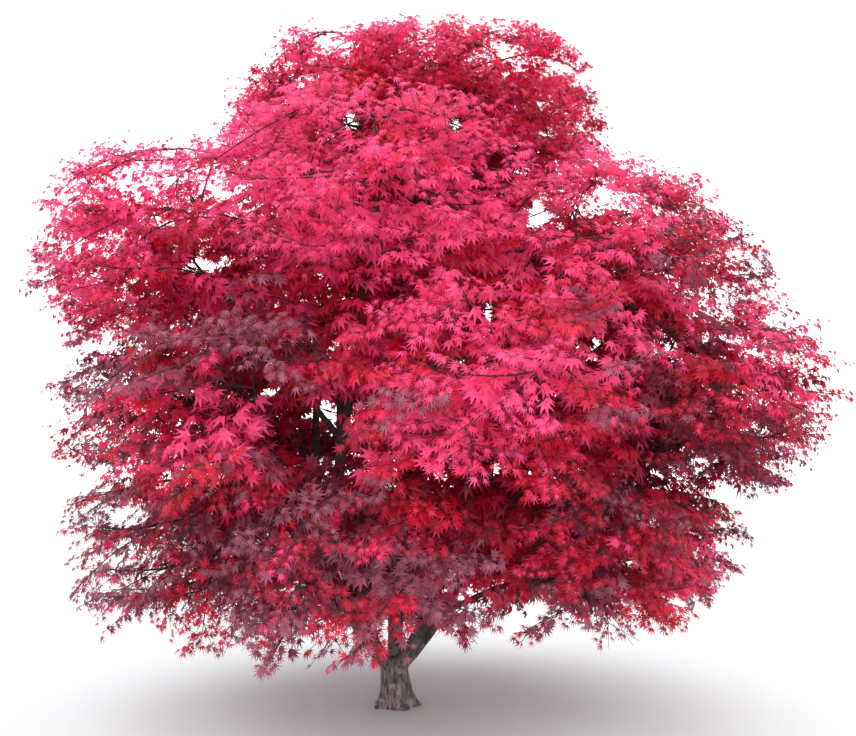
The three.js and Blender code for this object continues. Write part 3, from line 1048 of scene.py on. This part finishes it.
def grow_pad(pad, pads, twig, leaf, draw):
    """One pad's branchlets, its sprays' twiglets and the leaves on them."""
    starts, bends, ends = grow_branchlets(pad, twig, draw)
    shares = np.linspace(0, 1, BRANCHLET_POINTS)[None].repeat(len(starts), 0)
    paths = curve(starts, bends, ends, shares)
    radii = twig.branchlet_radius + (twig.twiglet_radius - twig.branchlet_radius) * shares
    sprays, is_spur = grow_sprays(pad, pads, (starts, bends, ends), twig, draw)
    t = np.linspace(0, 1, TWIGLET_POINTS)[None]
    run = sprays.at(t)
    run_radii = (twig.twiglet_radius * (1 - TWIGLET_TAPER * t)).repeat(len(run), 0)
    leaves = grow_leaves(sprays, leaf, draw)
    count = leaves[0].shape[1]
    tints = sprays.tints[:, None].repeat(count, 1)
    shaded = (sprays.hidden > SHADE_EDGE)[:, None].repeat(count, 1)
    inside = is_spur[:, None] | (pad.ball_depth(leaves[0]) < LEAF_REACH)
    inside &= gap_nearness(leaves[0]) > draw.uniform(*RAGGED_GAP, inside.shape)
    leafy = inside.mean(1) > BARE_SPRAY
    inside &= leafy[:, None]
    return (paths, radii), (run[leafy], run_radii[leafy]), [a[inside] for a in (*leaves, tints, shaded)]


def gathered(rows, column):
    return np.concatenate([row[column] for row in rows])


def grow_crown():
    """All the pads' twigs and leaves. Each pad draws its own numbers."""
    twig, leaf = settings("maple_twigs"), settings("maple_leaves")
    branchlets, twiglets, leaves = [], [], []
    pads = grow_limbs()
    for pad in pads:
        draw = np.random.default_rng((leaf.seed, pad.index))
        grown, fine, parts = grow_pad(pad, pads, twig, leaf, draw)
        stem = pad_stem(pad, BRANCHLET_POINTS)[None]
        taper = np.linspace(pad.tip, twig.branchlet_radius, BRANCHLET_POINTS)[None]
        branchlets.append((np.concatenate((grown[0], stem)), np.concatenate((grown[1], taper))))
        twiglets.append(fine)
        leaves.append(parts)
    return Crown(
        Twigs(gathered(branchlets, 0), gathered(branchlets, 1)),
        Twigs(gathered(twiglets, 0), gathered(twiglets, 1)),
        *(gathered(leaves, column) for column in range(len(leaves[0]))),
    )


# Geometry Nodes


def node_tree(name, inputs):
    tree = bpy.data.node_groups.new(name, "GeometryNodeTree")
    tree.interface.new_socket("Geometry", in_out="INPUT", socket_type="NodeSocketGeometry")
    for label, kind in inputs:
        tree.interface.new_socket(label, in_out="INPUT", socket_type=kind)
    tree.interface.new_socket("Geometry", in_out="OUTPUT", socket_type="NodeSocketGeometry")
    return tree, tree.nodes.new("NodeGroupInput"), tree.nodes.new("NodeGroupOutput")


def attribute_node(tree, name, kind):
    node = tree.nodes.new("GeometryNodeInputNamedAttribute")
    node.data_type = kind
    node.inputs["Name"].default_value = name
    return node.outputs["Attribute"]


def twig_tree():
    """Sweeps a many-sided ring along each path, as thick as the path says."""
    inputs = (("Sides", "NodeSocketInt"), ("Bark", "NodeSocketMaterial"))
    tree, given, result = node_tree("Twig tubes", inputs)
    paths = tree.nodes.new("GeometryNodeMeshToCurve")
    ring = tree.nodes.new("GeometryNodeCurvePrimitiveCircle")
    ring.inputs["Radius"].default_value = 1.0
    sweep = tree.nodes.new("GeometryNodeCurveToMesh")
    sweep.inputs["Fill Caps"].default_value = True
    real = tree.nodes.new("GeometryNodeRealizeInstances")
    finish = tree.nodes.new("GeometryNodeSetMaterial")
    link = tree.links.new
    link(given.outputs["Geometry"], paths.inputs["Mesh"])
    link(given.outputs["Sides"], ring.inputs["Resolution"])
    link(paths.outputs["Curve"], sweep.inputs["Curve"])
    link(ring.outputs["Curve"], sweep.inputs["Profile Curve"])
    link(attribute_node(tree, "thickness", "FLOAT"), sweep.inputs["Scale"])
    link(sweep.outputs["Mesh"], real.inputs["Geometry"])
    link(real.outputs["Geometry"], finish.inputs["Geometry"])
    link(given.outputs["Bark"], finish.inputs["Material"])
    link(finish.outputs["Geometry"], result.inputs["Geometry"])
    return tree


def leaf_tree():
    """Sets one leaf on each point, turned by the point's facing and heading and sized by the point."""
    inputs = (("Leaf", "NodeSocketObject"), ("Tint", "NodeSocketMaterial"))
    tree, given, result = node_tree("Leaf sprays", inputs)
    shape = tree.nodes.new("GeometryNodeObjectInfo")
    turn = tree.nodes.new("FunctionNodeAxesToRotation")
    turn.primary_axis, turn.secondary_axis = "Z", "X"
    place = tree.nodes.new("GeometryNodeInstanceOnPoints")
    real = tree.nodes.new("GeometryNodeRealizeInstances")
    finish = tree.nodes.new("GeometryNodeSetMaterial")
    link = tree.links.new
    link(given.outputs["Geometry"], place.inputs["Points"])
    link(given.outputs["Leaf"], shape.inputs["Object"])
    link(shape.outputs["Geometry"], place.inputs["Instance"])
    link(attribute_node(tree, "facing", "FLOAT_VECTOR"), turn.inputs["Primary Axis"])
    link(attribute_node(tree, "heading", "FLOAT_VECTOR"), turn.inputs["Secondary Axis"])
    link(turn.outputs["Rotation"], place.inputs["Rotation"])
    link(attribute_node(tree, "size", "FLOAT"), place.inputs["Scale"])
    link(place.outputs["Instances"], real.inputs["Geometry"])
    link(real.outputs["Geometry"], finish.inputs["Geometry"])
    link(given.outputs["Tint"], finish.inputs["Material"])
    link(finish.outputs["Geometry"], result.inputs["Geometry"])
    return tree


def run_tree(base, tree, values):
    """The plain mesh that a tree makes of an object, with the tree's inputs set by their identifiers."""
    modifier = base.modifiers.new(tree.name, "NODES")
    modifier.node_group = tree
    for item in tree.interface.items_tree:
        if item.in_out == "INPUT" and item.name in values:
            modifier[item.identifier] = values[item.name]
    mesh = evaluated_mesh(base)
    base.modifiers.remove(modifier)
    remove(base)
    return mesh


def point_object(name, places, values, edges=()):
    mesh = bpy.data.meshes.new(name)
    mesh.from_pydata(places, edges, [])
    for label, kind, key, data in values:
        attribute = mesh.attributes.new(label, kind, "POINT")
        attribute.data.foreach_set(key, np.ascontiguousarray(data, np.float32).ravel())
    made = bpy.data.objects.new(name, mesh)
    bpy.context.collection.objects.link(made)
    return made


def twig_piece(name, twigs, sides, material):
    paths, steps, _ = twigs.points.shape
    places = twigs.points.reshape(-1, 3)
    starts = (np.arange(paths) * steps)[:, None] + np.arange(steps - 1)[None]
    edges = np.stack((starts, starts + 1), -1).reshape(-1, 2)
    base = point_object(name, places, [("thickness", "FLOAT", "value", twigs.radii)], edges.tolist())
    mesh = run_tree(base, twig_tree(), {"Sides": sides, "Bark": material})
    return shown(name, mesh, material)


def leaf_template(leaf, fingers, finger_width):
    """A leaf of pointed, hanging fingers of unit span, with its stalk behind."""
    vertices, faces = [], []
    for degrees, length in fingers:
        angle = math.radians(degrees)
        ahead = np.array((math.cos(angle), math.sin(angle), 0.0))
        beside = np.array((-math.sin(angle), math.cos(angle), 0.0)) * finger_width * length
        first = len(vertices)
        vertices.append(ahead * FINGER_FOOT - beside)
        vertices.append((ahead * math.cos(leaf.droop) - UP * math.sin(leaf.droop)) * length)
        vertices.append(ahead * FINGER_FOOT + beside)
        faces.append((first, first + 1, first + 2))
    first = len(vertices)
    vertices.append(np.array((0.0, -STALK_HALF_WIDTH, -STALK_DROP)))
    vertices.append(np.array((0.0, STALK_HALF_WIDTH, -STALK_DROP)))
    vertices.append(np.array((-leaf.stalk, 0.0, -STALK_DROP)))
    faces.append((first, first + 1, first + 2))
    return vertices, faces


# Sizes and colours


class MAPLE_PG_bark(bpy.types.PropertyGroup):
    relief: FloatProperty(
        name="Relief", description="Depth of the bark's furrows", default=0.005, unit="LENGTH"
    )
    voxel: FloatProperty(
        name="Skin step",
        description="Grid on which the stems grow together",
        default=0.014,
        unit="LENGTH",
    )
    light: FloatVectorProperty(
        name="Light bark",
        description="Colour of the ridges",
        default=(0.125, 0.088, 0.088),
        subtype="COLOR",
    )
    dark: FloatVectorProperty(
        name="Dark bark",
        description="Colour of the furrows",
        default=(0.022, 0.014, 0.016),
        subtype="COLOR",
    )
    weathered: FloatVectorProperty(
        name="Weathered",
        description="Colour of the pale patches",
        default=(0.23, 0.19, 0.18),
        subtype="COLOR",
    )


class MAPLE_PG_twigs(bpy.types.PropertyGroup):
    branchlet_radius: FloatProperty(
        name="Branchlet radius", description="At the layer's middle", default=0.006, unit="LENGTH"
    )
    twiglet_radius: FloatProperty(
        name="Twiglet radius", description="At the foot of a spray", default=0.0024, unit="LENGTH"
    )
    arch: FloatProperty(name="Arch", description="Rise of a branchlet over its length", default=0.05)
    crest: FloatProperty(name="Crest", description="How far inner sprays rise", default=0.4)
    inner_share: FloatProperty(
        name="Inner share",
        description="Share of hidden sprays kept",
        default=0.16,
    )
    sprays: IntProperty(name="Sprays", description="Sprays on each branchlet", default=16, min=2)
    bare: FloatProperty(
        name="Bare foot",
        description="Share of a branchlet with no sprays",
        default=0.05,
    )
    spray_length: FloatProperty(
        name="Spray length", description="Length of a spray's twiglet", default=0.2, unit="LENGTH"
    )
    lift: FloatProperty(
        name="Lift",
        description="How far sprays rise high up and hang low down",
        default=0.42,
    )
    spur_gap: FloatProperty(
        name="Spur gap", description="Between leafy spurs on a limb", default=0.045, unit="LENGTH"
    )
    spur_length: FloatProperty(
        name="Spur length", description="Length of a spur's twiglet", default=0.3, unit="LENGTH"
    )
    colour: FloatVectorProperty(
        name="Twig colour",
        description="Colour of the young bark",
        default=(0.06, 0.022, 0.022),
        subtype="COLOR",
    )


class MAPLE_PG_leaves(bpy.types.PropertyGroup):
    seed: IntProperty(name="Seed", description="Seed of the sprays", default=11)
    span: FloatProperty(
        name="Leaf span",
        description="From a leaf's middle to its longest tip",
        default=0.045,
        unit="LENGTH",
    )
    shade_growth: FloatProperty(
        name="Shade growth", description="How much larger leaves grow in deep shade", default=1.0
    )
    stalk: FloatProperty(name="Stalk", description="Length of the stalk over the span", default=0.6)
    pairs: IntProperty(name="Pairs", description="Pairs of leaves on each spray", default=5, min=1)
    sun_finger: FloatProperty(name="Finger width", description="Half width over length", default=0.1)
    shade_finger: FloatProperty(
        name="Finger width in shade", description="Half width over length of a shade leaf", default=0.2
    )
    droop: FloatProperty(
        name="Droop",
        description="How steeply the fingers hang",
        default=math.radians(29),
        subtype="ANGLE",
    )
    glow: FloatProperty(
        name="Glow",
        description="Share of light let through",
        default=0.62,
        subtype="FACTOR",
    )
    bright_crimson: FloatVectorProperty(
        name="Bright crimson", description="Sunlit tint", default=(0.92, 0.082, 0.275), subtype="COLOR"
    )
    crimson: FloatVectorProperty(
        name="Crimson", description="Main tint", default=(0.82, 0.032, 0.14), subtype="COLOR"
    )
    scarlet: FloatVectorProperty(
        name="Scarlet", description="Warm tint", default=(0.72, 0.012, 0.055), subtype="COLOR"
    )
    wine: FloatVectorProperty(
        name="Wine",
        description="Deep tint",
        default=(0.54, 0.014, 0.055),
        subtype="COLOR",
    )
    mauve: FloatVectorProperty(
        name="Mauve",
        description="Pale tint",
        default=(0.4, 0.11, 0.18),
        subtype="COLOR",
    )
    plum: FloatVectorProperty(
        name="Plum",
        description="Dusky tint",
        default=(0.28, 0.036, 0.08),
        subtype="COLOR",
    )


class MAPLE_PG_stage(bpy.types.PropertyGroup):
    eye: FloatVectorProperty(
        name="Eye",
        description="Where the camera stands",
        default=(0.21, -6.3, 1.55),
        subtype="TRANSLATION",
    )
    pitch: FloatProperty(
        name="Pitch",
        description="How far the camera looks up",
        default=math.radians(6.34),
        subtype="ANGLE",
    )
    lens: FloatProperty(name="Lens", description="Focal length in millimetres", default=38.6)
    floor: FloatVectorProperty(
        name="Floor", description="Colour of the floor", default=(0.55, 0.55, 0.54), subtype="COLOR"
    )
    sky: FloatVectorProperty(
        name="Surround",
        description="Colour of the light all round",
        default=(0.93, 0.96, 1.0),
        subtype="COLOR",
    )


# Operators


class MAPLE_OT_trunk(bpy.types.Operator):
    """Grows the trunk and stems into one skin with bark relief"""

    bl_idname = "maple.trunk"
    bl_label = "Trunk and Stems"

    def execute(self, context):
        bark = settings("maple_bark")
        material = bark_material("stem bark", tuple(bark.light), tuple(bark.dark))
        stems = [pad for pad in grow_limbs() if pad.tier in LEADER_TIERS]
        limbs = [limb_tube(pad, STEM_RING_GAP, STEM_SIDES) for pad in stems]
        vertices, faces = joined([trunk_tube(), *limbs])
        rough = mesh_object("rough_stems", vertices, faces, material)
        skin = rough.modifiers.new("Skin", "REMESH")
        skin.mode, skin.voxel_size = "VOXEL", bark.voxel
        soften = rough.modifiers.new("Soften", "SMOOTH")
        soften.factor, soften.iterations = SKIN_SOFTENING, SKIN_SOFTENINGS
        mesh = evaluated_mesh(rough)
        remove(rough)
        roughen(mesh, bark.relief, STEM_GRAIN)
        cut_at_ground(mesh)
        piece = shown("trunk_and_stems", mesh, material)
        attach(piece, "root")
        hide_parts("trunk", *STEMS)
        return {"FINISHED"}


class MAPLE_OT_boughs(bpy.types.Operator):
    """Makes the boughs that leave the stems for the leaf pads"""

    bl_idname = "maple.boughs"
    bl_label = "Boughs"

    def execute(self, context):
        bark = settings("maple_bark")
        material = bark_material("bough bark", tuple(bark.light), tuple(bark.dark))
        boughs = [pad for pad in grow_limbs() if pad.tier not in LEADER_TIERS]
        vertices, faces = joined([limb_tube(pad, BOUGH_RING_GAP, BOUGH_SIDES) for pad in boughs])
        piece = mesh_object("boughs", vertices, faces, material)
        roughen(piece.data, bark.relief * BOUGH_RELIEF, BOUGH_GRAIN)
        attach(piece, "root")
        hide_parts(*BOUGHS)
        return {"FINISHED"}


class MAPLE_OT_twigs(bpy.types.Operator):
    """Grows each pad's stem, branchlets and the twiglets of its sprays"""

    bl_idname = "maple.twigs"
    bl_label = "Twigs"

    def execute(self, context):
        bark, twig = settings("maple_bark"), settings("maple_twigs")
        material = bark_material("twig bark", tuple(twig.colour), tuple(bark.dark))
        crown = grow_crown()
        kinds = (
            ("branchlets", crown.branchlets, BRANCHLET_SIDES),
            ("twiglets", crown.twiglets, TWIGLET_SIDES),
        )
        for name, twigs, sides in kinds:
            piece = twig_piece(name, twigs, sides, material)
            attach(piece, "root")
            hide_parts(*MASSES)
        return {"FINISHED"}


class MAPLE_OT_leaves(bpy.types.Operator):
    """Sets the leaves on their sprays, one piece for each tint"""

    bl_idname = "maple.leaves"
    bl_label = "Leaves"

    def execute(self, context):
        leaf = settings("maple_leaves")
        crown = grow_crown()
        tree = leaf_tree()
        kinds = (
            ("leaves", ~crown.shaded, leaf_template(leaf, SUN_FINGERS, leaf.sun_finger)),
            ("shade_leaves", crown.shaded, leaf_template(leaf, SHADE_FINGERS, leaf.shade_finger)),
        )
        for number, tint in enumerate(TINTS):
            material = leaf_material(f"{tint} leaf", tuple(getattr(leaf, tint)))
            for kind, is_kind, outline in kinds:
                template = mesh_object("leaf_template", *outline, material, smooth=False)
                chosen = np.flatnonzero(is_kind & (crown.tints == number))
                pieces = math.ceil(len(chosen) * len(template.data.polygons) / PIECE_LIMIT)
                for part, rows in enumerate(np.array_split(chosen, pieces)):
                    values = [
                        ("facing", "FLOAT_VECTOR", "vector", crown.facings[rows]),
                        ("heading", "FLOAT_VECTOR", "vector", crown.headings[rows]),
                        ("size", "FLOAT", "value", crown.sizes[rows]),
                    ]
                    base = point_object("leaf_points", crown.places[rows], values)
                    mesh = run_tree(base, tree, {"Leaf": template, "Tint": material})
                    piece = shown(f"{kind}_{tint}_{part + 1}", mesh, material, smooth=False)
                    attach(piece, "root")
                    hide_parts(*MASSES)
                remove(template)
        return {"FINISHED"}


class MAPLE_OT_stage(bpy.types.Operator):
    """Sets the floor, the soft light and the camera at the photograph's angle"""

    bl_idname = "maple.stage"
    bl_label = "Stage"

    def execute(self, context):
        stage = settings("maple_stage")
        scene = context.scene
        corners = [(x * FLOOR_HALF, y * FLOOR_HALF, 0) for x, y in ((-1, -1), (1, -1), (1, 1), (-1, 1))]
        floor = mesh_object("floor", corners, [(0, 1, 2, 3)], floor_material(stage.floor))
        world = bpy.data.worlds.new("soft light")
        world.use_nodes = True
        surround = world.node_tree.nodes["Background"]
        surround.inputs["Color"].default_value = (*stage.sky, 1.0)
        surround.inputs["Strength"].default_value = SURROUND_STRENGTH
        scene.world = world
        for lamp in LAMPS:
            light = bpy.data.lights.new(lamp["name"], "AREA")
            light.shape, light.size, light.energy = "DISK", lamp["size"], lamp["watts"]
            held = bpy.data.objects.new(lamp["name"], light)
            held.location = lamp["place"]
            held.rotation_euler = (LAMP_TARGET - held.location).to_track_quat("-Z", "Y").to_euler()
            context.collection.objects.link(held)
        camera = bpy.data.objects.new("camera", bpy.data.cameras.new("camera"))
        camera.data.sensor_width, camera.data.lens = SENSOR_WIDTH, stage.lens
        camera.location = stage.eye
        camera.rotation_euler = (math.pi / 2 + stage.pitch, 0, 0)
        context.collection.objects.link(camera)
        scene.camera = camera
        scene.view_settings.view_transform = "Standard"
        return {"FINISHED"}


OPERATORS = (MAPLE_OT_stage, MAPLE_OT_trunk, MAPLE_OT_boughs, MAPLE_OT_twigs, MAPLE_OT_leaves)
GROUPS = {
    "maple_bark": MAPLE_PG_bark,
    "maple_twigs": MAPLE_PG_twigs,
    "maple_leaves": MAPLE_PG_leaves,
    "maple_stage": MAPLE_PG_stage,
}


class MAPLE_PT_panel(bpy.types.Panel):
    bl_label = "Japanese Maple"
    bl_idname = "MAPLE_PT_panel"
    bl_space_type = "VIEW_3D"
    bl_region_type = "UI"
    bl_category = "Maple"

    def draw(self, context):
        for operator in OPERATORS:
            self.layout.operator(operator.bl_idname)
        for name, group in GROUPS.items():
            column = self.layout.box().column()
            for label in group.__annotations__:
                column.prop(getattr(context.scene, name), label)


def register():
    for group in (*GROUPS.values(), *OPERATORS, MAPLE_PT_panel):
        bpy.utils.register_class(group)
    for name, group in GROUPS.items():
        setattr(bpy.types.Scene, name, PointerProperty(type=group))


def unregister():
    for name in GROUPS:
        delattr(bpy.types.Scene, name)
    for group in (MAPLE_PT_panel, *reversed(OPERATORS), *GROUPS.values()):
        bpy.utils.unregister_class(group)


def main():
    register()
    for operator in OPERATORS:
        group, name = operator.bl_idname.split(".")
        getattr(getattr(bpy.ops, group), name)()


if __name__ == "__main__":
    main()
